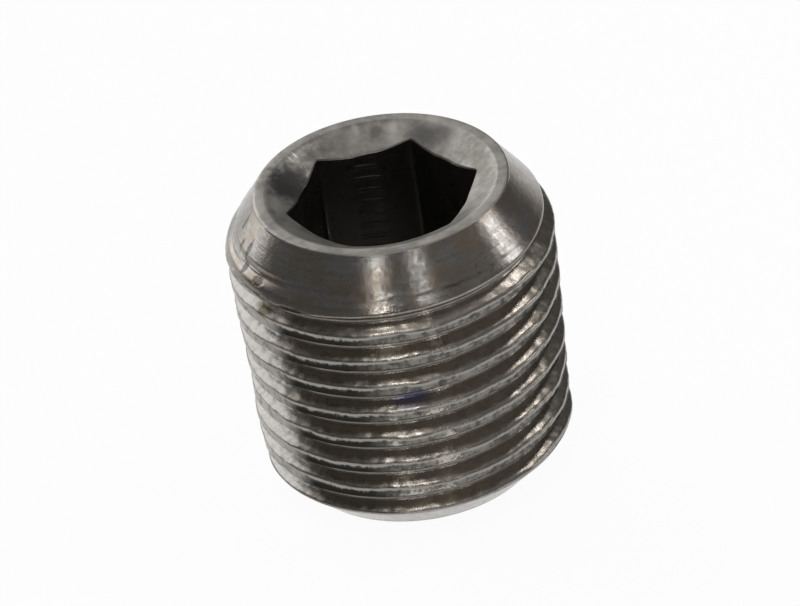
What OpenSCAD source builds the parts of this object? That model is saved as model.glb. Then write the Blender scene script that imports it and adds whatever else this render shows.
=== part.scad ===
/*
Conical screw plug with a hexagon socket.

One turned piece of steel that closes a tapped hole. Its thread tapers, so the
plug wedges tight as it is screwed in, small end first. A hexagon key drives it
from the wide end. The origin is the centre of the small end's face, and +Z runs
up the axis to the socket. All sizes are in millimetres.
*/

/* [Body] */
// Overall length, from the small end to the socket end
length = 7.8; // [7:0.1:12]
// Height of the chamfer at the socket end
top_chamfer_h = 1.25; // [0.5:0.05:1.3]
// Half angle of the chamfer at the socket end, measured from the axis
top_chamfer_angle = 36; // [30:1:40]
// Height of the 45 degree chamfer at the small end
foot_chamfer_h = 0.8; // [0.3:0.05:1.2]

/* [Thread] */
// Nominal crest diameter of the thread at the gauge plane
thread_d = 8; // [7.8:0.05:10]
// Distance from one crest to the next
pitch = 0.75; // [0.5:0.05:1]
// Depth of the gauge plane below the socket end
gauge_depth = 4.1; // [1:0.1:5]
// Length over which the diameter grows by one millimetre
taper_run = 16; // [12:1:30]
// How much lower than the nominal thread the crests are turned
crest_trim = 0.15; // [0:0.01:0.2]
// Height of the lowest crest's middle, where it crosses the +X axis
first_crest = 0.2; // [0:0.02:0.5]
// Steps in one turn of the thread
turn_steps = 60; // [24:4:72]

/* [Socket] */
// Size of the hexagon key across its flats
key_size = 4; // [3:0.25:4.25]
// How much wider than the key the socket is
key_clearance = 0.05; // [0.02:0.01:0.12]
// Depth of the hexagon below the socket end
hex_depth = 4; // [3:0.1:4.4]
// How much wider than the hexagon's flats the pilot hole is drilled
pilot_oversize = 0.05; // [0.01:0.01:0.2]
// How far the pilot hole's wall runs below the hexagon, as room for chips
chip_room = 0.7; // [0.3:0.1:1]
// Included angle of the drill point
drill_angle = 118; // [110:1:140]
// How far the countersink's rim lies outside the hexagon's corners
mouth_margin = 0.44; // [0.3:0.02:0.5]
// Included angle of the countersink
mouth_angle = 120; // [100:5:130]

/* [Hidden] */

steel = [0.24, 0.23, 0.21];
round_steps = 96;
// Overrun of a cut beyond the face that it opens
over = 0.5;

gauge_z = length - gauge_depth;
// Radius of the crests at height z
function crest_r(z) = thread_d / 2 - crest_trim + (z - gauge_z) / (2 * taper_run);
// Radii of the flat faces that the chamfers leave at either end
top_slope = tan(top_chamfer_angle);
top_face_r = crest_r(length - top_chamfer_h) - top_chamfer_h * top_slope;
foot_face_r = crest_r(foot_chamfer_h) - foot_chamfer_h;
// The chamfers run on past the crests, so the blank's side stands clear of them
run_on = 0.3;

// Metric thread form: each flank slopes 30 degrees from the plane across the axis.
// An untrimmed thread's depth and crest width are these shares of its pitch.
flank = 30;
depth_share = 0.6134;
crest_share = 1 / 8;
thread_depth = depth_share * pitch - crest_trim;
crest_w = crest_share * pitch + 2 * crest_trim * tan(flank);
root_w = pitch - crest_w - 2 * thread_depth * tan(flank);
// One pitch of the thread upwards from a crest's middle: [rise, depth below the crest]
form = [
    [crest_w / 2, 0],
    [(pitch - root_w) / 2, thread_depth],
    [(pitch + root_w) / 2, thread_depth],
    [pitch - crest_w / 2, 0]
];
// The helix starts below the small end and stops above the socket end
corners = len(form);
turns_below = floor(first_crest / pitch) + 2;
turns = ceil(length / pitch) + turns_below;
helix_z = first_crest - turns_below * pitch;

hex_flats = key_size + key_clearance;
hex_corner_r = hex_flats / 2 / cos(30);
pilot_r = (hex_flats + pilot_oversize) / 2;
pilot_wall_z = length - hex_depth - chip_room;
pilot_tip_z = pilot_wall_z - pilot_r / tan(drill_angle / 2);
mouth_r = hex_corner_r + mouth_margin;
mouth_slope = tan(mouth_angle / 2);
mouth_tip_z = length - mouth_r / mouth_slope;

// Corner number row of the axial section at step number step of a turn
function thread_point(step, row) =
    let (
        corner = form[row % corners],
        z = helix_z + pitch * (floor(row / corners) + step / turn_steps) + corner[0],
        r = crest_r(z) - corner[1],
        angle = 360 * step / turn_steps
    )
    [r * cos(angle), r * sin(angle), z];

// A rod with the tapered right-hand thread on it, longer than the plug at both ends.
// After a full turn a section has climbed one pitch, so the last section meets the
// first one a whole form higher.
module threaded_rod() {
    rows = turns * corners;
    below = [0, 0, helix_z - pitch];
    above = [0, 0, helix_z + (turns + 2) * pitch];
    function id(step, row) = (step % turn_steps) * (rows + 1) + row
        + (step == turn_steps ? corners : 0);
    last = turn_steps - 1;
    below_id = turn_steps * (rows + 1);
    above_id = below_id + 1;
    points = [for (step = [0 : last]) for (row = [0 : rows]) thread_point(step, row)];
    skin = [
        for (step = [0 : last]) for (row = [0 : rows - (step == last ? corners : 0) - 1])
            each [
                [id(step, row), id(step, row + 1), id(step + 1, row + 1)],
                [id(step, row), id(step + 1, row + 1), id(step + 1, row)]
            ]
    ];
    lower_end = [
        for (step = [0 : last]) [id(step, 0), id(step + 1, 0), below_id],
        for (row = [0 : corners - 1]) [id(0, row + 1), id(0, row), below_id]
    ];
    upper_end = [
        for (step = [0 : last - 1]) [id(step + 1, rows), id(step, rows), above_id],
        for (row = [rows - corners : rows - 1]) [id(last, row), id(last, row + 1), above_id],
        [id(0, rows), id(last, rows - corners), above_id]
    ];
    polyhedron(concat(points, [below, above]), concat(skin, lower_end, upper_end), convexity = 12);
}

// The turned blank: a flat face and a chamfer at each end, and between them a side
// that stands clear of the thread
module blank() {
    rotate_extrude($fn = round_steps)
        polygon([
            [0, 0],
            [foot_face_r, 0],
            [foot_face_r + foot_chamfer_h + run_on, foot_chamfer_h + run_on],
            [top_face_r + (top_chamfer_h + run_on) * top_slope, length - top_chamfer_h - run_on],
            [top_face_r, length],
            [0, length]
        ]);
}

// The hexagon with two corners on the X axis, the pilot hole with its drill point
// and the countersink
module socket() {
    translate([0, 0, length - hex_depth])
        cylinder(h = hex_depth + over, r = hex_corner_r, $fn = 6);
    rotate_extrude($fn = round_steps)
        polygon([
            [0, pilot_tip_z],
            [pilot_r, pilot_wall_z],
            [pilot_r, length + over],
            [0, length + over]
        ]);
    rotate_extrude($fn = round_steps)
        polygon([
            [0, mouth_tip_z],
            [mouth_r + over * mouth_slope, length + over],
            [0, length + over]
        ]);
}

module plug() {
    color(steel)
        difference() {
            intersection() {
                threaded_rod();
                blank();
            }
            socket();
        }
}

plug();
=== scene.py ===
# %% [markdown]
# # A conical screw plug
#
# The plug closes a tapped hole. It is one piece of steel: a tapered thread outside,
# a hexagon socket inside and a chamfer at each end. The CAD model has its true form
# in flat facets. This script dresses it: it spins one smooth closed skin to the
# same sizes, with the soft edges and uneven crests of a used part, and gives it the
# finish of blackened, oily steel.

# %% Load the CAD model as the frame
import math

import bmesh
import bpy
from mathutils import Matrix, Vector, noise


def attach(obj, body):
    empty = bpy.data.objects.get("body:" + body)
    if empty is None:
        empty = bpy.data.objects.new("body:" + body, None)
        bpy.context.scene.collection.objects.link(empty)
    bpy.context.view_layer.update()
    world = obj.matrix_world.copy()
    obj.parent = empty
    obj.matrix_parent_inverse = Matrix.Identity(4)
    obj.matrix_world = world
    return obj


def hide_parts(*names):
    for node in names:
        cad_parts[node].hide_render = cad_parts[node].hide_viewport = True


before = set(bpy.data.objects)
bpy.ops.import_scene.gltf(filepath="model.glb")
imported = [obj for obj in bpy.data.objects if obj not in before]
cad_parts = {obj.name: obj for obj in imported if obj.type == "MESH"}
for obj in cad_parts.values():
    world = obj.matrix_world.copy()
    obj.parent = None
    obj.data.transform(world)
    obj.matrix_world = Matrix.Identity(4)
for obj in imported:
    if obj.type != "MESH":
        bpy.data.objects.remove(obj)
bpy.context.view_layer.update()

# %% [markdown]
# ## The plug's sizes
#
# They are the CAD model's own sizes, in millimetres. A mesh a few units across is
# also kinder to the modelling tools than one of a few thousandths, so the skin is
# made in millimetres and scaled to metres once, at the end.

# %% Sizes of the body and its thread
MM = 0.001

LENGTH = 7.8
TOP_CHAMFER_H = 1.25
TOP_CHAMFER_SLOPE = math.tan(math.radians(36))
FOOT_CHAMFER_H = 0.8

PITCH = 0.75
GAUGE_Z = 3.7
GAUGE_CREST_R = 3.85
TAPER_RUN = 16
THREAD_DEPTH = 0.31
CREST_W = 0.267
FIRST_CREST_Z = 0.2
FLANK_SLOPE = math.tan(math.radians(30))
FLANK_RISE = THREAD_DEPTH * FLANK_SLOPE
ROOT_W = PITCH - CREST_W - 2 * FLANK_RISE
print("crest, flank and root in mm:", CREST_W, round(FLANK_RISE, 3), round(ROOT_W, 3))

# %% Sizes of the socket
HEX_APOTHEM = 2.025
HEX_FLOOR_Z = LENGTH - 4
PILOT_R = 2.05
PILOT_DROP = 0.7
PILOT_FLOOR_Z = HEX_FLOOR_Z - PILOT_DROP
DRILL_SLOPE = math.tan(math.radians(59))
MOUTH_R = 2.778
MOUTH_SLOPE = math.tan(math.radians(60))
print("steel left under the drill point in mm:", round(PILOT_FLOOR_Z - PILOT_R / DRILL_SLOPE, 3))


# %% Radii that follow from the taper
def crest_radius(z):
    """Radius of the thread's crests at height z."""
    return GAUGE_CREST_R + (z - GAUGE_Z) / (2 * TAPER_RUN)


# The small end's chamfer slopes 45 degrees, so it takes its own height off the radius.
TOP_FACE_R = crest_radius(LENGTH - TOP_CHAMFER_H) - TOP_CHAMFER_H * TOP_CHAMFER_SLOPE
FOOT_FACE_R = crest_radius(FOOT_CHAMFER_H) - FOOT_CHAMFER_H
print("end faces, radius in mm:", round(TOP_FACE_R, 3), round(FOOT_FACE_R, 3))

# %% [markdown]
# ## The thread, spun as a helix
#
# A thread is one groove that climbs as it goes round. It could be a stack of rings,
# but rings never climb, and the start and end of the groove would look wrong. The
# spin operator can climb: it moves its copies along the axis by a fixed step as it
# turns them. One section of the thread, turned once while it rises by one pitch,
# makes the whole helix, because its last copy meets its first one crest higher.
#
# The section is a zigzag of four corners to the pitch, drawn a little too tall. The
# next step trims its peaks to the crests. Its edges are cut into short lengths, the
# flanks more finely, so that there are points enough where the trimming falls.

# %% Draw the thread's section as a chain of edges
TURNS_BELOW = 2
TURNS = math.ceil(LENGTH / PITCH) + 2 * TURNS_BELOW
FLANK_CUTS = 7
LAND_CUTS = 2
SPIN_R = 4.0
PEAK = 0.12
PEAK_W = CREST_W - 2 * PEAK * FLANK_SLOPE

# Each corner: its height in the pitch, and its depth under the crest's radius.
section = [
    (PEAK_W / 2, -PEAK),
    (CREST_W / 2 + FLANK_RISE, THREAD_DEPTH),
    (CREST_W / 2 + FLANK_RISE + ROOT_W, THREAD_DEPTH),
    (PITCH - PEAK_W / 2, -PEAK),
]
skin = bmesh.new()
previous = None
for turn in range(TURNS):
    for rise, depth in section:
        z = FIRST_CREST_Z + (turn - TURNS_BELOW) * PITCH + rise
        corner = skin.verts.new((SPIN_R - depth, 0, z))
        if previous:
            skin.edges.new((previous, corner))
        previous = corner
print("corners in the section:", len(skin.verts))

# %% Cut its edges into short lengths
flanks = [e for e in skin.edges if abs(e.verts[0].co.x - e.verts[1].co.x) > PEAK]
lands = [e for e in skin.edges if e not in flanks]
bmesh.ops.subdivide_edges(skin, edges=flanks, cuts=FLANK_CUTS)
bmesh.ops.subdivide_edges(skin, edges=lands, cuts=LAND_CUTS)
bmesh.ops.smooth_vert(
    skin, verts=skin.verts[:], factor=0.5, use_axis_x=True, use_axis_y=True, use_axis_z=True
)
print("points in the section:", len(skin.verts))

# %% Spin it once round as it climbs one pitch
STEPS = 240

bmesh.ops.spin(
    skin,
    geom=skin.verts[:] + skin.edges[:],
    cent=(0, 0, 0),
    axis=(0, 0, 1),
    dvec=(0, 0, PITCH / STEPS),
    angle=2 * math.pi,
    steps=STEPS,
    use_merge=False,
)
bmesh.ops.remove_doubles(skin, verts=skin.verts[:], dist=0.001)
print("faces in the helix:", len(skin.faces))

# %% [markdown]
# ## Taper, chamfers and worn crests
#
# So far the thread is straight. Each point is now moved along its own radius. It
# keeps its depth under the crests, which follow the taper, and it may not stand
# outside the cone of either chamfer. A soft minimum of the two radii cuts the
# chamfers and rounds the edge where they meet the thread in one go.
#
# The crests are trimmed in the same way, to the taper. On a part like this they are
# never even: the tool tears them a little and handling bruises them. Noise raises
# and lowers the trimming, so a crest is broad in one place and thin in the next.
# The thread was also cut a little off the blank's axis, so the crests are thinner
# on one side of the plug.


# %% Two curves, one to round over and one to fade
def soft_min(a, b, width):
    """The smaller of a and b, rounded over where they are within width of each other."""
    near = max(width - abs(a - b), 0) / width
    return min(a, b) - near * near * width / 4


def ramp(value, start, end):
    """0 before start, 1 after end and a smooth rise between."""
    t = min(max((value - start) / (end - start), 0), 1)
    return t * t * (3 - 2 * t)


print("soft minimum of two equal ones:", soft_min(1, 1, 0.2))

# %% How far the crests waver, and the cones that trim them
WAVER = 0.045
WAVER_SCALE = 1.1
TEAR = 0.012
TEAR_SCALE = 5.5
OFF_AXIS = 0.045
THIN_SIDE = math.radians(-35)


def crest_waver(co, angle):
    """How much higher or lower than its true radius the crest is trimmed near a point."""
    waver = WAVER * noise.noise(co * WAVER_SCALE) + TEAR * noise.noise(co * TEAR_SCALE)
    return waver + OFF_AXIS * math.cos(angle - THIN_SIDE)


def chamfer_radius(z):
    """Radius of the cones of the two chamfers at height z."""
    return min(TOP_FACE_R + (LENGTH - z) * TOP_CHAMFER_SLOPE, FOOT_FACE_R + z)


print("chamfers' radius at mid-length in mm:", round(chamfer_radius(LENGTH / 2), 3))

# %% [markdown]
# ## Masks for the finish
#
# The finish changes from place to place: crests, flanks and turned faces differ,
# and light and shade are painted on parts of the thread. The material could find
# those places again from coordinates, but here the shape is still known exactly, so
# each point keeps a few numbers that the material reads.
#
# - past_edge: how far past the edge of the nearest crest it lies, in millimetres
# - upper_half: 1 above the middle of the nearest crest, 0 below it
# - lit_front: 1 on the front side, where light is painted on the crests and flanks
# - left_reflection: 1 on the left side, where a reflection of the bright wall is painted on the
#   thread
# - mouth: 1 on the countersink and its rim
# - turned: 1 on faces that the lathe turned, 0 on the thread
# - socket: 1 inside the socket
# - drilled: 1 on the strips of round wall that the drill left

# %% Make room for the masks
MASKS = ("past_edge", "upper_half", "lit_front", "left_reflection", "mouth", "turned", "socket", "drilled")
masks = {name: skin.verts.layers.float.new(name) for name in MASKS}

# Where a mask fades. On the two sides of the plug it is the cosine of the angle
# from the middle of that side, and elsewhere it is in millimetres.
# The front side of the thread is painted lighter: painted light on its crests and flanks.
LIT_FRONT_SIDE = math.radians(-78)
LIT_FRONT_FADE = (0.75, 0.95)
# The left side of the thread is painted lighter: a painted reflection of the bright wall.
LEFT_REFLECTION_SIDE = math.radians(-175)
LEFT_REFLECTION_FADE = (0.84, 0.93)
UPPER_FADE = (-0.02, 0.02)
TURNED_FADE = (-0.03, 0.01)
print("masks:", len(masks))

# %% Move every point of the helix to its place
# How far each kind of edge is rounded over.
TOP_EDGE = 0.2
FOOT_EDGE = 0.06
CREST_EDGE = 0.03

for v in skin.verts:
    radius = v.co.xy.length
    angle = math.atan2(v.co.y, v.co.x)
    waver = crest_waver(v.co, angle)
    half_crest = CREST_W / 2 - waver * FLANK_SLOPE
    crests_up = (v.co.z - FIRST_CREST_Z) / PITCH - angle / (2 * math.pi)
    off_middle = (crests_up - round(crests_up)) * PITCH
    crest_r = crest_radius(v.co.z)
    thread_r = soft_min(crest_r - (SPIN_R - radius), crest_r + waver, CREST_EDGE)
    cone_r = chamfer_radius(v.co.z)
    v[masks["past_edge"]] = abs(off_middle) - half_crest
    v[masks["upper_half"]] = ramp(off_middle, *UPPER_FADE)
    v[masks["lit_front"]] = ramp(math.cos(angle - LIT_FRONT_SIDE), *LIT_FRONT_FADE)
    v[masks["left_reflection"]] = ramp(math.cos(angle - LEFT_REFLECTION_SIDE), *LEFT_REFLECTION_FADE)
    v[masks["turned"]] = ramp(thread_r - cone_r, *TURNED_FADE)
    edge = TOP_EDGE if v.co.z > LENGTH / 2 else FOOT_EDGE
    v.co.xy *= soft_min(thread_r, cone_r, edge) / radius
thread_points = set(skin.verts)
widest = max(v.co.xy.length for v in thread_points if 0 < v.co.z < LENGTH)
print("widest crest, radius in mm:", round(widest, 3))

# %% [markdown]
# ## The ends
#
# The helix runs past both ends, so two planes cut it off. Each cut leaves an open
# loop. From there the skin goes on as rings: the loop is extruded, and the new ring
# is moved to its own radius and height. A few close rings round an edge, and a wide
# step makes a flat face. The same tool goes on into the socket, so the plug stays
# one skin with no seam to join.

# %% Cut off both ends
EDGE_R = 0.05


def cut_end(mesh, height, up):
    """Cuts off what lies beyond height, above it if up is 1 and below it if -1.

    Returns the edges of the open loop that the cut leaves.
    """
    cut = bmesh.ops.bisect_plane(
        mesh,
        geom=mesh.verts[:] + mesh.edges[:] + mesh.faces[:],
        dist=0.0001,
        plane_co=(0, 0, height),
        plane_no=(0, 0, up),
        clear_outer=True,
    )["geom_cut"]
    points = [g for g in cut if isinstance(g, bmesh.types.BMVert)]
    bmesh.ops.remove_doubles(mesh, verts=points, dist=0.01)
    open_edges = [e for e in mesh.edges if e.is_boundary]
    return [e for e in open_edges if all(abs(v.co.z - height) < 0.001 for v in e.verts)]


top_loop = cut_end(skin, LENGTH - EDGE_R, 1)
foot_loop = cut_end(skin, EDGE_R, -1)
print("edges in the open loops:", len(top_loop), len(foot_loop))


# %% Carry a loop from ring to ring, first to close the small end
def carry(mesh, loop, place):
    """Extrudes a loop, and moves each new point to the (radius, height) of its angle."""
    made = bmesh.ops.extrude_edge_only(mesh, edges=loop)["geom"]
    for v in made:
        if isinstance(v, bmesh.types.BMVert):
            angle = math.atan2(v.co.y, v.co.x)
            radius, height = place(angle)
            v.co = (radius * math.cos(angle), radius * math.sin(angle), height)
    return [e for e in made if isinstance(e, bmesh.types.BMEdge) and e.is_boundary]


def carry_through(mesh, loop, rings):
    """Carries a loop through plain round rings, each a (radius, height)."""
    for ring in rings:
        loop = carry(mesh, loop, lambda angle: ring)
    return loop


# Close the small end: three rings round its edge, and the rest lie in its face.
foot_rings = [
    (FOOT_FACE_R + 0.024, 0.014),
    (FOOT_FACE_R - 0.006, 0.002),
    (FOOT_FACE_R - 0.05, 0),
    (2, 0),
    (1, 0),
    (0.2, 0),
]
foot_loop = carry_through(skin, foot_loop, foot_rings)
bmesh.ops.contextual_create(skin, geom=foot_loop)
print("small end closed with a face of", len(foot_loop), "sides")

# %% Round over the socket end, face it, and round its inner rim
top_rings = [
    (TOP_FACE_R + 0.022, LENGTH - 0.016),
    (TOP_FACE_R - 0.004, LENGTH - 0.003),
    (TOP_FACE_R - 0.04, LENGTH),
    ((TOP_FACE_R + MOUTH_R) / 2, LENGTH),
    (MOUTH_R + 0.035, LENGTH),
    (MOUTH_R + 0.008, LENGTH - 0.003),
]
rim_loop = carry_through(skin, top_loop, top_rings)
outside_points = set(skin.verts)
print("rim of the countersink, points:", len(rim_loop))

# %% [markdown]
# ## The socket
#
# The maker drills a pilot hole, countersinks its mouth and pushes a hexagonal
# broach down it. The drill is a little wider than the hexagon's flats, so a strip
# of its round wall is left in the middle of each flat. One formula gives the wall
# of both tools: at each angle the steel ends at the wider of the two. Carrying the
# rim down by that formula shapes the hexagon from the same ring of points, where
# a boolean cut would leave long thin faces that shade badly.
#
# The broach leaves a crisp edge where it enters the countersink. The two rings
# there lie close together and their edges are marked sharp, so that the shading
# isn't smoothed across them.

# %% The walls that the tools leave
HEX_CORNER_EASE = 0.05
CORNER_TRIM = 0.01


def hexagon_radius(angle):
    """Distance from the axis to the hexagon's wall. Two of its corners lie on the X axis."""
    from_flat = math.radians(math.degrees(angle) % 60 - 30)
    corner_r = HEX_APOTHEM / math.cos(math.radians(30)) - CORNER_TRIM
    return soft_min(HEX_APOTHEM / math.cos(from_flat), corner_r, HEX_CORNER_EASE)


def wall_radius(angle):
    """Distance from the axis to the hexagon, or to the pilot hole where that is wider."""
    return max(hexagon_radius(angle), PILOT_R)


def mouth_height(radius):
    """Height of the countersink's cone at a radius."""
    return LENGTH - (MOUTH_R - radius) / MOUTH_SLOPE


print("half of the hexagon across corners in mm:", round(wall_radius(0), 3))

# %% Down the countersink
MOUTH_RINGS = 8
MOUTH_SHARE = 0.96

loop = rim_loop
for ring in range(1, MOUTH_RINGS + 1):
    share = ring / MOUTH_RINGS * MOUTH_SHARE

    def on_cone(angle):
        radius = MOUTH_R + (wall_radius(angle) - MOUTH_R) * share
        return radius, mouth_height(radius)

    loop = carry(skin, loop, on_cone)
for edge in loop:
    edge.smooth = False
print("countersink carried down in", MOUTH_RINGS, "rings")

# %% Down the hexagon's wall
WALL_RINGS = 14
EDGE_DROP = 0.03

for ring in range(WALL_RINGS + 1):
    share = ring / WALL_RINGS

    def on_wall(angle):
        radius = wall_radius(angle)
        start = mouth_height(radius) - EDGE_DROP
        return radius, start + (HEX_FLOOR_Z - start) * share

    loop = carry(skin, loop, on_wall)
    if ring == 0:
        for edge in loop:
            edge.smooth = False
print("socket wall down to z", HEX_FLOOR_Z)

# %% The ledge, the pilot hole below the hexagon, and its drill point
# The gap keeps the ledge off the pilot hole's wall where the two would touch.
GAP = 0.0005
LEDGE_DROP = 0.01
PILOT_STEPS = 3

loop = carry(skin, loop, lambda angle: ((wall_radius(angle) + PILOT_R) / 2 - GAP, HEX_FLOOR_Z))
pilot_rings = [
    (PILOT_R - 2 * GAP, HEX_FLOOR_Z - LEDGE_DROP - (PILOT_DROP - LEDGE_DROP) * k / PILOT_STEPS)
    for k in range(PILOT_STEPS + 1)
]
drill_rings = [(r, PILOT_FLOOR_Z - (PILOT_R - r) / DRILL_SLOPE) for r in (1.6, 1.1, 0.6, 0.2, 0.05)]
loop = carry_through(skin, loop, pilot_rings + drill_rings)
bmesh.ops.contextual_create(skin, geom=loop)
print("faces in the whole skin:", len(skin.faces))

# %% Masks of the ends and the socket
RIM_FADE = (LENGTH - 0.04, LENGTH - 0.005)
SOCKET_FADE = (0.01, 0.03)
STRIP_FADE = (-0.003, 0.003)

for v in skin.verts:
    if v not in thread_points:
        v[masks["turned"]] = 1
        if v in outside_points and v.co.z > LENGTH / 2:
            v[masks["mouth"]] = ramp(v.co.z, *RIM_FADE)
    if v not in outside_points:
        radius, angle = v.co.xy.length, math.atan2(v.co.y, v.co.x)
        v[masks["socket"]] = ramp(mouth_height(radius) - v.co.z, *SOCKET_FADE)
        v[masks["mouth"]] = 1 - v[masks["socket"]]
        v[masks["drilled"]] = ramp(PILOT_R - hexagon_radius(angle), *STRIP_FADE)
print("points on the drilled strips:", sum(v[masks["drilled"]] > 0.5 for v in skin.verts))

# %% [markdown]
# ## Finish the mesh
#
# The skin is closed now. Extruding can leave some faces turned inwards, so the
# normals are worked out again, and the volume is printed: it should match the CAD
# model's, about 252 cubic millimetres. Then the mesh is scaled to metres and takes
# the place of the faceted CAD plug, which is hidden.

# %% Turn every face outwards and print the volume
bmesh.ops.remove_doubles(skin, verts=skin.verts[:], dist=0.0002)
bmesh.ops.recalc_face_normals(skin, faces=skin.faces[:])
open_edges = [e for e in skin.edges if len(e.link_faces) != 2]
print("volume in cubic mm:", round(skin.calc_volume(signed=True), 2))
print("open edges:", len(open_edges))
bmesh.ops.scale(skin, vec=(MM, MM, MM), verts=skin.verts[:])

# %% Make the object
plug_mesh = bpy.data.meshes.new("plug_skin")
skin.to_mesh(plug_mesh)
skin.free()
plug_mesh.polygons.foreach_set("use_smooth", [True] * len(plug_mesh.polygons))
plug = bpy.data.objects.new("plug_skin", plug_mesh)
bpy.context.scene.collection.objects.link(plug)
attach(plug, "root")
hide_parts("plug")
triangles = sum(len(face.vertices) - 2 for face in plug_mesh.polygons)
print("triangles:", triangles)

# %% [markdown]
# ## Blackened, oily steel
#
# Blackening leaves a thin dark oxide on bare steel, and oil and handling leave it
# uneven: brown in one place, grey in the next. Metal shows its colour only in what
# it reflects, so the base colour is a reflectance, mixed from a dark and a lighter
# tone by noise of several sizes. The masks from the mesh tell the turned faces, the
# flanks and the crests apart, and say where the oxide has worn away.
#
# The turned faces carry fine rings from the lathe tool. Noise that is read only by
# height and distance from the axis makes rings of uneven depth, and a bump node
# turns them into light and shade.

# %% A new material
def new_material(name):
    """An empty material, its node tree and a Principled BSDF joined to the output."""
    material = bpy.data.materials.new(name)
    material.use_nodes = True
    tree = material.node_tree
    tree.nodes.clear()
    output = tree.nodes.new("ShaderNodeOutputMaterial")
    shader = tree.nodes.new("ShaderNodeBsdfPrincipled")
    tree.links.new(shader.outputs["BSDF"], output.inputs["Surface"])
    return material, tree, shader


steel, steel_tree, steel_shader = new_material("blackened steel")


def say(finish):
    """Tells how far the steel has come."""
    print(finish, "done, nodes in the steel so far:", len(steel_tree.nodes))


say("shader")

# %% Coordinates in millimetres, and the masks
where = steel_tree.nodes.new("ShaderNodeTexCoord")
to_mm = steel_tree.nodes.new("ShaderNodeMapping")
to_mm.inputs["Scale"].default_value = (1 / MM, 1 / MM, 1 / MM)
steel_tree.links.new(where.outputs["Object"], to_mm.inputs["Vector"])
point = to_mm.outputs["Vector"]

split = steel_tree.nodes.new("ShaderNodeSeparateXYZ")
steel_tree.links.new(point, split.inputs["Vector"])
point_x, point_y, point_z = split.outputs


def mask(name):
    """The socket of a mask that the mesh carries."""
    node = steel_tree.nodes.new("ShaderNodeAttribute")
    node.attribute_name = name
    return node.outputs["Fac"]


say("coordinates")

# %% [markdown]
# ## Arithmetic and noise in nodes
#
# A finish is mostly sums on masks and noises. Each sum is a node of its own, which
# takes three or four lines to add, so small functions do it. They find the tree
# from the sockets that they are given, so they serve every material here.


# %% Arithmetic on sockets, and the distance from the axis
def math_node(operation, *values, clamp=False):
    """A Math node on sockets and numbers, one of them at least a socket."""
    tree = next(v.id_data for v in values if isinstance(v, bpy.types.NodeSocket))
    node = tree.nodes.new("ShaderNodeMath")
    node.operation = operation
    node.use_clamp = clamp
    for socket, value in zip(node.inputs, values):
        if isinstance(value, (int, float)):
            socket.default_value = value
        else:
            tree.links.new(value, socket)
    return node.outputs[0]


def plus(a, b):
    return math_node("ADD", a, b)


def minus(a, b):
    return math_node("SUBTRACT", a, b)


def times(a, b):
    return math_node("MULTIPLY", a, b)


def larger(a, b):
    return math_node("MAXIMUM", a, b)


def rest_of(share):
    """What a share between 0 and 1 leaves over."""
    return math_node("SUBTRACT", 1.0, share, clamp=True)


across = math_node("SQRT", plus(times(point_x, point_x), times(point_y, point_y)))
ring_point = steel_tree.nodes.new("ShaderNodeCombineXYZ")
steel_tree.links.new(across, ring_point.inputs["X"])
steel_tree.links.new(point_z, ring_point.inputs["Z"])
say("distance from the axis")


# %% Noises of several sizes, from broad to fine, and one that makes rings
def noise_at(vector, scale, detail, roughness=0.55):
    """Noise of a given scale, per millimetre of the vector it reads."""
    node = vector.id_data.nodes.new("ShaderNodeTexNoise")
    node.inputs["Scale"].default_value = scale
    node.inputs["Detail"].default_value = detail
    node.inputs["Roughness"].default_value = roughness
    vector.id_data.links.new(vector, node.inputs["Vector"])
    return node.outputs["Fac"]


stains = noise_at(point, 1.6, 5, 0.6)
swell = noise_at(point, 2.4, 1)
mottle = noise_at(point, 5, 6, 0.65)
grit = noise_at(point, 14, 4, 0.6)
rings = noise_at(ring_point.outputs["Vector"], 9, 4, 0.75)


def shifted(spread, amount):
    """A noise turned into a shift either way, of up to half of amount."""
    return times(minus(spread, 0.5), amount)


say("noises")


# %% Nodes that spread and mix, and the countersink's mottled grey
def remap(value, low, high, to_low=0.0, to_high=1.0):
    """A smooth, clamped Map Range node."""
    node = value.id_data.nodes.new("ShaderNodeMapRange")
    node.interpolation_type = "SMOOTHSTEP"
    value.id_data.links.new(value, node.inputs["Value"])
    limits = {"From Min": low, "From Max": high, "To Min": to_low, "To Max": to_high}
    for name, number in limits.items():
        node.inputs[name].default_value = number
    return node.outputs["Result"]


def mix_colour(share, a, b):
    """A mix of two colours, each a socket or a tuple, by the socket share."""
    tree = share.id_data
    node = tree.nodes.new("ShaderNodeMix")
    node.data_type = "RGBA"
    tree.links.new(share, node.inputs[0])
    for socket, value in ((node.inputs[6], a), (node.inputs[7], b)):
        if isinstance(value, tuple):
            socket.default_value = (*value, 1)
        else:
            tree.links.new(value, socket)
    return node.outputs[2]


def layered(colour, layers):
    """A colour with others laid over it.

    Each layer is the noise that spreads it, the values of that noise at which the
    layer starts and is full, its share where it is full, and its colour.
    """
    for spread, start, full, share, over in layers:
        colour = mix_colour(remap(spread, start, full, 0, share), colour, over)
    return colour


MOUTH_DARK = (0.185, 0.176, 0.162)
MOUTH_LIGHT = (0.3, 0.286, 0.264)

mouth_layers = [(stains, 0.36, 0.66, 1, MOUTH_LIGHT), (mottle, 0.45, 0.75, 0.5, MOUTH_LIGHT)]
mouth_tone = layered(MOUTH_DARK, mouth_layers)
say("countersink")

# %% Turned faces: grey oxide in rings, with brown stains
OXIDE = (0.2, 0.19, 0.176)
GREY = (0.32, 0.306, 0.286)
BROWN = (0.225, 0.185, 0.148)
SPECK = (0.1, 0.088, 0.074)

turned_tone = layered(
    OXIDE,
    [
        (rings, 0.35, 0.65, 0.6, GREY),
        (mottle, 0.45, 0.7, 0.6, GREY),
        (stains, 0.42, 0.6, 0.75, BROWN),
        (grit, 0.58, 0.7, 0.55, SPECK),
    ],
)
turned_tone = mix_colour(mask("mouth"), turned_tone, mouth_tone)
say("turned faces")


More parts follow.
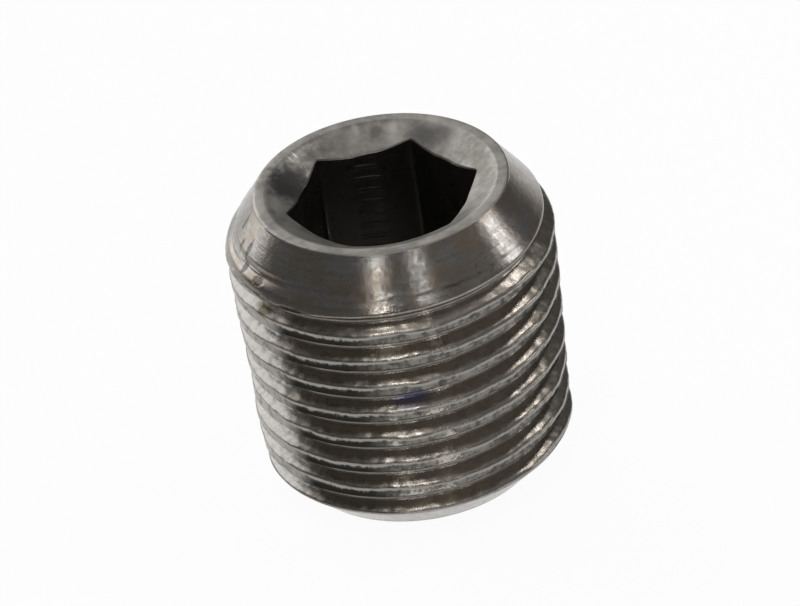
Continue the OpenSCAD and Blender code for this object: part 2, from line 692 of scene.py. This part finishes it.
# %% The flanks: black with oil stains, painted light on the front and a painted reflection on the left
def patchy(value, start, full, least, most):
    """A mask made uneven: least of it where the mottle is below start, most above full."""
    return times(value, remap(mottle, start, full, least, most))


FLANK_BLACK = (0.178, 0.162, 0.14)
FLANK_BROWN = (0.205, 0.18, 0.15)
FLANK_LIT_FRONT = (0.245, 0.22, 0.192)
FLANK_LEFT_REFLECTION = (0.265, 0.256, 0.24)

flank_tone = layered(FLANK_BLACK, [(stains, 0.42, 0.7, 1, FLANK_BROWN)])
# On the front side the flanks are painted lighter, as painted light.
flank_tone = mix_colour(patchy(mask("lit_front"), 0.35, 0.6, 0.35, 1), flank_tone, FLANK_LIT_FRONT)
# On the left side the flanks carry a painted reflection of the bright wall.
left_reflection = patchy(mask("left_reflection"), 0.3, 0.55, 0.5, 1)
flank_tone = mix_colour(left_reflection, flank_tone, FLANK_LEFT_REFLECTION)
say("flanks")

# %% [markdown]
# ## Torn crests, with painted light and shade
#
# A crest is painted dark, as a painted reflection of a shaded floor, and painted
# light in three places: a painted highlight along a thin lip at its upper edge,
# painted light all over on the front side, and a painted reflection of the bright
# wall on the left side. Its edge is the mask past_edge, moved in and out by noise so
# that it looks torn. A small shift carries the dark tone a little below the crest,
# as painted shade under it.
#
# Any metal brightens where it is seen at a low angle, which draws a hard white line
# along the lower edges. The tint of that reflection is lowered on the lower half of
# each crest and just below it, except on the left side.

# %% Where the crests lie
EDGE_TORN = 0.14
EDGE_GRITTY = 0.06
# The reach carries the crest's dark tone below its middle, as painted shade under the crest.
PAINTED_SHADE_REACH = 0.05
EDGE_FADE = (0.022, -0.028)

wander = plus(shifted(mottle, EDGE_TORN), shifted(grit, EDGE_GRITTY))
edge_at = plus(mask("past_edge"), wander)
below_middle = rest_of(mask("upper_half"))
on_crest = remap(minus(edge_at, times(below_middle, PAINTED_SHADE_REACH)), *EDGE_FADE)
say("edges of the crests")

# %% Their tone, and the whole thread's
# The crest's dark tone is a painted reflection of a shaded floor, and its light tone is painted
# light.
CREST_PAINTED_DARK = (0.022, 0.02, 0.017)
CREST_PAINTED_LIGHT = (0.28, 0.266, 0.242)
LIP_W = 0.085
LIP_FADE = (-LIP_W - 0.03, -LIP_W + 0.015)

# The lip along each crest's upper edge is a painted highlight.
lip_highlight = patchy(times(remap(edge_at, *LIP_FADE), mask("upper_half")), 0.3, 0.5, 0.6, 1)
# On the front side the crests are painted lighter, as painted light.
lit_front = patchy(mask("lit_front"), 0.35, 0.62, 0.2, 0.7)
crest_tone = mix_colour(larger(larger(lip_highlight, lit_front), left_reflection), CREST_PAINTED_DARK, CREST_PAINTED_LIGHT)
thread_tone = mix_colour(on_crest, flank_tone, crest_tone)
tone = mix_colour(mask("turned"), thread_tone, turned_tone)
say("thread")

# %% Less shine at a low angle under the crests
PLAIN_SHINE = (1.0, 1.0, 1.0)
# The lowered tint dims the low-angle reflection on the lower half of each crest.
LOWERED_SHINE = (0.45, 0.45, 0.45)

under_crest = times(times(on_crest, below_middle), rest_of(mask("turned")))
edge_shine = mix_colour(times(under_crest, rest_of(left_reflection)), PLAIN_SHINE, LOWERED_SHINE)
say("shine")

# %% [markdown]
# ## Marks that only this plug has, with painted shade and painted glints
#
# Gouges, nicks, a painted shade in the countersink, grease, a blued stain and
# painted glints on the thread each sit in one place. They could be painted on a map
# that is wrapped round the part. An ellipsoid needs no map: a Mapping node turns and
# scales the space so that the ellipsoid becomes a ball, and the distance from its
# centre gives the mark. Noise added to that distance tears its outline.


# %% A mark in the shape of an ellipsoid, first used for the gouges in the chamfer
def mark(centre, radii, angle, softness=0.5, raggedness=0.0):
    """1 inside an ellipsoid, fading to 0 at its edge.

    The centre and the radii are in millimetres, and the radii are outward, round
    and up once the ellipsoid is turned by the angle, in degrees, about the axis.
    """
    place = steel_tree.nodes.new("ShaderNodeMapping")
    place.vector_type = "TEXTURE"
    place.inputs["Location"].default_value = centre
    place.inputs["Rotation"].default_value = (0, 0, math.radians(angle))
    place.inputs["Scale"].default_value = radii
    steel_tree.links.new(point, place.inputs["Vector"])
    far = steel_tree.nodes.new("ShaderNodeVectorMath")
    far.operation = "LENGTH"
    steel_tree.links.new(place.outputs["Vector"], far.inputs[0])
    rough_edge = plus(far.outputs["Value"], minus(mottle, 0.5))
    return remap(plus(rough_edge, shifted(grit, raggedness)), 1, 1 - softness)


# Each gouge: centre, radii, angle.
GOUGES = [
    ((-3.29, 0.21, 7.43), (0.4, 0.085, 0.3), 176),
    ((-3.42, -0.62, 7.18), (0.4, 0.1, 0.3), -170),
    ((-3.55, -0.21, 7.08), (0.4, 0.075, 0.22), -177),
    ((-3.63, -0.81, 6.85), (0.4, 0.12, 0.2), -167),
    ((-3.46, -1.46, 6.81), (0.4, 0.24, 0.12), -157),
]
GOUGE_SHARE = 0.8
GOUGE_TONE = (0.06, 0.055, 0.047)

dents = mark(*GOUGES[0])
for other in GOUGES[1:]:
    dents = larger(dents, mark(*other))
tone = mix_colour(times(dents, GOUGE_SHARE), tone, GOUGE_TONE)
say("gouges")

# %% Painted shade, nicks, oil and stains: centre, radii, angle, softness, colour
SPOTS = {
    # The first spot is painted shade: it darkens the countersink where a lamp is mirrored too
    # brightly.
    "painted shade in the mouth": ((-2.0, 1.2, 7.55), (0.85, 0.9, 0.65), 147, 0.6, (0.055, 0.053, 0.049)),
    "grey below it": ((-2.55, 0.3, 7.68), (0.3, 0.45, 0.25), 172, 0.8, (0.36, 0.342, 0.3)),
    "nick on its rim": ((-1.65, 2.12, 7.74), (0.2, 0.045, 0.12), 126, 0.7, (0.6, 0.59, 0.565)),
    "second nick": ((-1.78, 2.0, 7.74), (0.2, 0.04, 0.1), 130, 0.7, (0.5, 0.49, 0.47)),
    "far side, light": ((-0.04, 2.64, 7.72), (0.3, 0.13, 0.2), 91, 0.8, (0.34, 0.32, 0.285)),
    "far side, dark": ((0.41, 2.48, 7.65), (0.35, 0.22, 0.25), 81, 0.7, (0.13, 0.124, 0.115)),
    "far side, second light": ((0.86, 2.44, 7.69), (0.3, 0.16, 0.2), 71, 0.8, (0.36, 0.335, 0.3)),
    "far side, grey": ((-1.2, 2.1, 7.62), (0.55, 0.95, 0.45), 118, 0.9, (0.12, 0.114, 0.105)),
    "far corner, dark": ((1.5, 1.9, 7.6), (0.5, 0.8, 0.32), 51, 0.8, (0.14, 0.134, 0.125)),
    # This spot darkens the right side of the countersink.
    "right corner, darker": ((2.42, -0.1, 7.65), (0.6, 1.6, 0.6), -2, 0.9, (0.15, 0.142, 0.128)),
    "oil on the chamfer": ((1.38, -2.88, 7.57), (0.4, 0.5, 0.4), -64, 0.8, (0.25, 0.205, 0.165)),
    "oil beside it": ((0.57, -3.45, 7.16), (0.4, 0.45, 0.4), -81, 0.8, (0.23, 0.192, 0.155)),
    "old grease": ((-3.39, -1.6, 6.12), (0.4, 0.42, 0.24), -155, 0.6, (0.085, 0.077, 0.056)),
    "blued stain": ((-0.52, -3.55, 4.04), (0.35, 0.62, 0.36), -99, 0.8, (0.11, 0.11, 0.165)),
}
for centre, radii, angle, softness, colour in SPOTS.values():
    tone = mix_colour(mark(centre, radii, angle, softness), tone, colour)
say("stains")

# %% Painted glints on the thread: angle in degrees, height, radius round, radius up
GLINT_SPOTS = [
    (-105.6, 3.61, 0.154, 0.144),
    (-87.0, 2.94, 0.224, 0.162),
    (-106.6, 2.91, 0.196, 0.162),
    (-89.4, 2.24, 0.336, 0.27),
    (-106.0, 1.83, 0.294, 0.216),
    (-90.5, 1.39, 0.252, 0.162),
    (-101.5, 1.37, 0.392, 0.18),
    (-90.8, 3.7, 0.336, 0.108),
    (-88.1, 4.12, 0.252, 0.126),
    (-104.9, 5.51, 0.42, 0.18),
    (-102.2, 6.7, 0.308, 0.162),
    (-87.2, 5.56, 0.182, 0.162),
    (-89.0, 6.33, 0.168, 0.144),
]
GLINT_AT_R = 3.7
GLINT_DEEP = 0.4
GLINT_SOFTNESS = 0.6
GLINT_RAGGEDNESS = 3
GLINT_SHARE = 0.85
GLINT_TONE = (0.48, 0.445, 0.395)

# These spots are painted glints on the thread's crests and flanks.
painted_glints = None
for angle, height, wide, high in GLINT_SPOTS:
    out = math.radians(angle)
    centre = (GLINT_AT_R * math.cos(out), GLINT_AT_R * math.sin(out), height)
    spot = mark(centre, (GLINT_DEEP, wide, high), angle, GLINT_SOFTNESS, GLINT_RAGGEDNESS)
    painted_glints = spot if painted_glints is None else larger(painted_glints, spot)
tone = mix_colour(times(painted_glints, GLINT_SHARE), tone, GLINT_TONE)
say("painted glints")

# %% A line scored round the foot of the chamfer
SCORE_Z = 6.9
SCORE_HALF_W = 0.055
SCORE_WANDER = 0.12
SCORE_INNER_R = MOUTH_R + 0.4
SCORE_TONE = (0.07, 0.062, 0.052)

score_at = plus(point_z, shifted(stains, SCORE_WANDER))
score = remap(math_node("ABSOLUTE", minus(score_at, SCORE_Z)), SCORE_HALF_W, 0)
score = times(patchy(score, 0.35, 0.6, 0, 0.75), mask("lit_front"))
score = times(score, math_node("GREATER_THAN", across, SCORE_INNER_R))
tone = mix_colour(score, tone, SCORE_TONE)
say("score line")

# %% [markdown]
# ## The socket's finish
#
# Inside the socket the steel is dull and takes little light. The drill has left
# faint ridges in the strips of round wall. A sine wave along the axis, slanted a
# little, draws them as the turns of a screw.

# %% The socket, and the drill's marks in the strip that faces the front
SOCKET_TONE = (0.2, 0.19, 0.175)
MARK_SPACING = 0.33
MARK_SLANT = 2.5
RIDGE_FADE = (0.1, 1.0)
# Only the strip on the +Y side lies between these two, and it faces the front.
STRIP_FADE_Y = (1.9, 2.05)

tone = mix_colour(mask("socket"), tone, SOCKET_TONE)
turns_down = times(point_z, 2 * math.pi / MARK_SPACING)
drill_wave = math_node("SINE", plus(turns_down, times(point_x, MARK_SLANT)))
drill_ridge = times(remap(drill_wave, *RIDGE_FADE), mask("drilled"))
drill_ridge = times(drill_ridge, remap(stains, 0.35, 0.6, 0.35, 1))
drill_ridge = times(times(drill_ridge, mask("socket")), remap(point_y, *STRIP_FADE_Y))
say("socket")

# %% [markdown]
# ## Roughness and relief
#
# The lathe leaves its faces smoother than the thread, and the countersink is
# rougher than both. Relief too small to model goes into one height, in parts: fine
# speckle, slow swells along the thread, the lathe's rings, the gouges and the
# score line cut in, and the drill's ridges standing up. A Bump node shades it.

# %% Roughness
THREAD_ROUGH = 0.27
TURNED_ROUGH = 0.19
SOCKET_ROUGHER = 0.12
MOUTH_ROUGHER = 0.24

rough = math_node("MULTIPLY_ADD", mask("turned"), TURNED_ROUGH - THREAD_ROUGH, THREAD_ROUGH)
rough = plus(rough, remap(mottle, 0.3, 0.7, 0.05, -0.04))
rough = plus(rough, times(mask("socket"), SOCKET_ROUGHER))
rough = plus(rough, times(mask("mouth"), MOUTH_ROUGHER))
say("roughness")

# %% Relief
SPECKLE_THREAD = 0.12
SPECKLE_TURNED = 0.4
SWELL_SHARE = 3.0
RING_SHARE = 0.4
RING_LESS_IN_MOUTH = -0.22
CUT_SHARE = 0.45
RIDGE_SHARE = 1.3
BUMP_STRENGTH = 0.55
BUMP_HEIGHT = 0.02

speckle = math_node("MULTIPLY_ADD", mask("turned"), SPECKLE_TURNED, SPECKLE_THREAD)
torn = times(rest_of(mask("turned")), SWELL_SHARE)
ring_share = math_node("MULTIPLY_ADD", mask("mouth"), RING_LESS_IN_MOUTH, RING_SHARE)
relief = plus(times(mottle, speckle), times(swell, torn))
relief = plus(relief, times(rings, ring_share))
relief = minus(relief, times(larger(dents, score), CUT_SHARE))
relief = plus(relief, times(drill_ridge, RIDGE_SHARE))
bump = steel_tree.nodes.new("ShaderNodeBump")
bump.inputs["Strength"].default_value = BUMP_STRENGTH
bump.inputs["Distance"].default_value = BUMP_HEIGHT * MM
steel_tree.links.new(relief, bump.inputs["Height"])
say("relief")

# %% Join it all to the shader and give it to the plug
steel_shader.inputs["Metallic"].default_value = 1.0
steel_tree.links.new(tone, steel_shader.inputs["Base Color"])
steel_tree.links.new(edge_shine, steel_shader.inputs["Specular Tint"])
steel_tree.links.new(rough, steel_shader.inputs["Roughness"])
steel_tree.links.new(bump.outputs["Normal"], steel_shader.inputs["Normal"])
plug_mesh.materials.append(steel)
print("links in the steel:", len(steel_tree.links))

# %% [markdown]
# ## The table
#
# A dark metal part looks dark because of what stands round it, not because of its
# own paint. The table is white and lights the crests from below. The camera and
# the steel see it as near white, yet it keeps a share of its real shading, so the
# plug's shadow stays. From below it is clear, so that the small end can be seen.

# %% A round table top
TABLE_R = 90 * MM

floor_bm = bmesh.new()
bmesh.ops.create_circle(floor_bm, cap_ends=True, segments=96, radius=TABLE_R)
floor_mesh = bpy.data.meshes.new("table_top")
floor_bm.to_mesh(floor_mesh)
floor_bm.free()
floor = bpy.data.objects.new("table_top", floor_mesh)
bpy.context.scene.collection.objects.link(floor)
print("table top, radius in metres:", TABLE_R)

# %% Its white, seen from above only
TABLE_COLOUR = (0.86, 0.86, 0.86, 1)
TABLE_ROUGH = 0.9
GLOW_SHARE = 0.95

table_top, table_tree, table_shader = new_material("white table")
table_shader.inputs["Base Color"].default_value = TABLE_COLOUR
table_shader.inputs["Roughness"].default_value = TABLE_ROUGH
table_shader.inputs["Specular IOR Level"].default_value = 0.0
glow = table_tree.nodes.new("ShaderNodeEmission")
glow.inputs["Color"].default_value = (1, 1, 1, 1)
glow.inputs["Strength"].default_value = 1.0
clear = table_tree.nodes.new("ShaderNodeBsdfTransparent")
ray = table_tree.nodes.new("ShaderNodeLightPath").outputs
seen = math_node("ADD", ray["Is Camera Ray"], ray["Is Glossy Ray"], clamp=True)
from_below = table_tree.nodes.new("ShaderNodeNewGeometry").outputs["Backfacing"]


def mix_shaders(share, a, b):
    """A mix of two shader sockets by the socket share."""
    node = share.id_data.nodes.new("ShaderNodeMixShader")
    for socket, value in zip(node.inputs, (share, a, b)):
        share.id_data.links.new(value, socket)
    return node.outputs["Shader"]


white = mix_shaders(times(seen, GLOW_SHARE), table_shader.outputs["BSDF"], glow.outputs["Emission"])
one_sided = mix_shaders(from_below, white, clear.outputs["BSDF"])
table_output = next(n for n in table_tree.nodes if n.type == "OUTPUT_MATERIAL")
table_tree.links.new(one_sided, table_output.inputs["Surface"])
floor_mesh.materials.append(table_top)
print("nodes in the table's white:", len(table_tree.nodes))

# %% [markdown]
# ## The camera
#
# It stands in front and above and looks down at the socket, with its horizon
# tipped, so that the plug seems to lean. It is far off and has a long lens, which
# keeps the two ends in true proportion. The lens is given in pixels for a frame 800
# pixels wide, and the point that the camera is turned to lies a little off the
# frame's middle.

# %% The camera's place and turn
FRAME_W = 800
SENSOR_W = 36
FOCAL_PX = 5940
# The distance and the aim are in millimetres, as the plug's sizes are.
CAMERA_DISTANCE = 142.83
CAMERA_ELEVATION = math.radians(33.862)
CAMERA_TURN = math.radians(-8.16)
CAMERA_ROLL = math.radians(8.603)
AIM = Vector((0, 0, 3.9))
AIM_OFF_MIDDLE_PX = Vector((0.81, 14.71))

turn = Matrix.Rotation(CAMERA_TURN, 3, "Z")
back = turn @ Vector((0, -math.cos(CAMERA_ELEVATION), math.sin(CAMERA_ELEVATION)))
right = turn @ Vector((1, 0, 0))
up = back.cross(right)
tipped_right = right * math.cos(CAMERA_ROLL) - up * math.sin(CAMERA_ROLL)
tipped_up = right * math.sin(CAMERA_ROLL) + up * math.cos(CAMERA_ROLL)
axes = Matrix((tipped_right, tipped_up, back)).transposed()
to_aim = Vector((AIM_OFF_MIDDLE_PX.x / FOCAL_PX, -AIM_OFF_MIDDLE_PX.y / FOCAL_PX, -1))
nudge = Vector((0, 0, -1)).rotation_difference(to_aim).to_matrix()
stand = Matrix.Translation((AIM + back * CAMERA_DISTANCE) * MM)
print("camera stands at, in mm:", [round(x / MM, 1) for x in stand.translation])

# %% The camera itself
camera_data = bpy.data.cameras.new("camera")
camera_data.sensor_width = SENSOR_W
camera_data.lens = FOCAL_PX / FRAME_W * SENSOR_W
camera_data.clip_start = 0.01
camera = bpy.data.objects.new("camera", camera_data)
bpy.context.scene.collection.objects.link(camera)
camera.matrix_world = stand @ (axes @ nudge.inverted()).to_4x4()
bpy.context.scene.camera = camera
print("lens in mm:", round(camera_data.lens, 1))

# %% [markdown]
# ## The room
#
# The steel mirrors the room, so the room is drawn as soft glows on a dim grey: a
# bright wall to the left and behind, a weaker one behind, a faint one in front to
# the right, and a little on the ceiling. Each glow is the cosine between the way a
# ray goes and the middle of the glow, faded between two values. The camera's own
# rays see plain white.


# %% Directions in the room
def toward(azimuth, elevation):
    """Direction from the plug, in degrees: azimuth 0 is the camera's side and 90 its right."""
    a, e = math.radians(azimuth), math.radians(elevation)
    return turn @ Vector((math.sin(a) * math.cos(e), -math.cos(a) * math.cos(e), math.sin(e)))


print("toward the camera's side:", [round(x, 3) for x in toward(0, 0)])

# %% The world's shaders
world = bpy.data.worlds.new("room")
bpy.context.scene.world = world
world.use_nodes = True
room = world.node_tree
room.nodes.clear()
room_out = room.nodes.new("ShaderNodeOutputWorld")
room_light = room.nodes.new("ShaderNodeBackground")
room_white = room.nodes.new("ShaderNodeBackground")
room_white.inputs["Color"].default_value = (1, 1, 1, 1)
seen_by_camera = room.nodes.new("ShaderNodeLightPath").outputs["Is Camera Ray"]
room_mix = mix_shaders(
    seen_by_camera, room_light.outputs["Background"], room_white.outputs["Background"]
)
room.links.new(room_mix, room_out.inputs["Surface"])
print("nodes in the room:", len(room.nodes))

# %% The glows: azimuth, elevation, cosines where each starts and is full, strength
DIM = 0.235
GLOWS = {
    "left wall": (-140, 24, 0.857, 0.899, 2.6),
    "back wall": (182, 36, 0.85, 0.97, 0.9),
    "front wall": (52, 30, 0.8, 0.97, 0.14),
    "ceiling": (60, 86, 0.82, 0.98, 0.45),
}

level = None
for azimuth, elevation, start, full, strength in GLOWS.values():
    facing = room.nodes.new("ShaderNodeVectorMath")
    facing.operation = "DOT_PRODUCT"
    ray_way = room.nodes.new("ShaderNodeTexCoord").outputs["Generated"]
    room.links.new(ray_way, facing.inputs[0])
    facing.inputs[1].default_value = toward(azimuth, elevation)
    patch = remap(facing.outputs["Value"], start, full, 0, strength)
    level = patch if level is None else plus(level, patch)
room.links.new(plus(level, DIM), room_light.inputs["Strength"])
print("glows:", len(GLOWS))

# %% [markdown]
# ## The lamps
#
# Round metal shows a lamp as a streak along its length, and the streak's width
# follows the lamp's. Two strips in front draw the two streaks on the chamfer, and a
# window on the right draws a broad one. The left strip and the window each have a
# high lamp too, which the thread's flanks mirror. A lamp of brightness 1 would look
# plain white.

# %% The lamps: azimuth, elevation, width and height in mm, brightness
LAMP_DISTANCE = 300 * MM
LAMPS = {
    "left strip, low": (-14.5, 38, 12, 170, 10),
    "left strip, high": (-25, 70, 14, 60, 44),
    "middle strip, low": (20, 37, 5, 150, 14),
    "right window, low": (92, 20, 44, 120, 5),
    "right window, high": (114, 53, 32, 56, 18),
}

for name, (azimuth, elevation, wide, high, brightness) in LAMPS.items():
    light = bpy.data.lights.new(name, "AREA")
    light.shape = "RECTANGLE"
    light.size, light.size_y = wide * MM, high * MM
    light.energy = brightness * math.pi * light.size * light.size_y
    lamp = bpy.data.objects.new(name, light)
    bpy.context.scene.collection.objects.link(lamp)
    direction = toward(azimuth, elevation)
    lamp.location = AIM * MM + direction * LAMP_DISTANCE
    lamp.rotation_euler = (-direction).to_track_quat("-Z", "Y").to_euler()
print("lamps:", len(LAMPS))

# %% [markdown]
# ## Finish
#
# The Standard view transform shows each colour as it is written.

# %% View transform, and the end
bpy.context.scene.view_settings.view_transform = "Standard"
